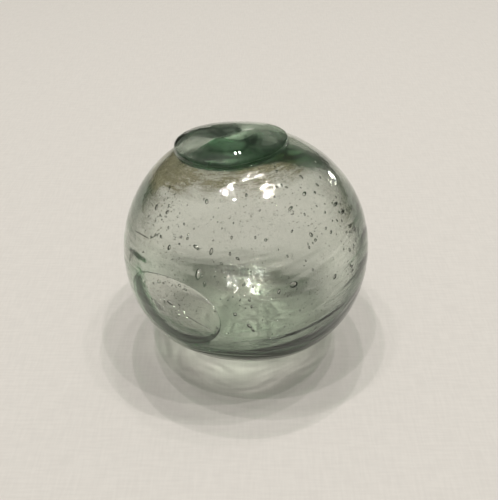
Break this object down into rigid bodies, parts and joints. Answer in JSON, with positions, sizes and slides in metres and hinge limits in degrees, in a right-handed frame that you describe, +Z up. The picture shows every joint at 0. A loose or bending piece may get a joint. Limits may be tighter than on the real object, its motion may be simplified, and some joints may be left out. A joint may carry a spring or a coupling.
{
  "type": "glass float ball",
  "caption": "Hand-blown green glass fishing float ball, slightly out of round, with a pressed seal button on its crown and an air blister low on one side.",
  "frame": {"origin": "centre of the small resting flat on the underside of the ball, where it touches the surface it lies on", "axes": "+Z up, away from the resting flat; the blow axis with the seal button leans about 6 degrees to -X and 5 degrees to +Y; the air blister is low on the -X, -Y side"},
  "size_m": [0.0805, 0.0799, 0.0805],
  "materials": {
    "float_glass": "clear hand-blown glass, pale green, darker where it is thick, with seeds and cords",
    "seal_glass": "thick deep green glass, fire-polished, with a twisted fold"
  },
  "bodies": {
    "root": {"glass_globe": "float_glass", "seal_button": "seal_glass"}
  },
  "joints": []
}
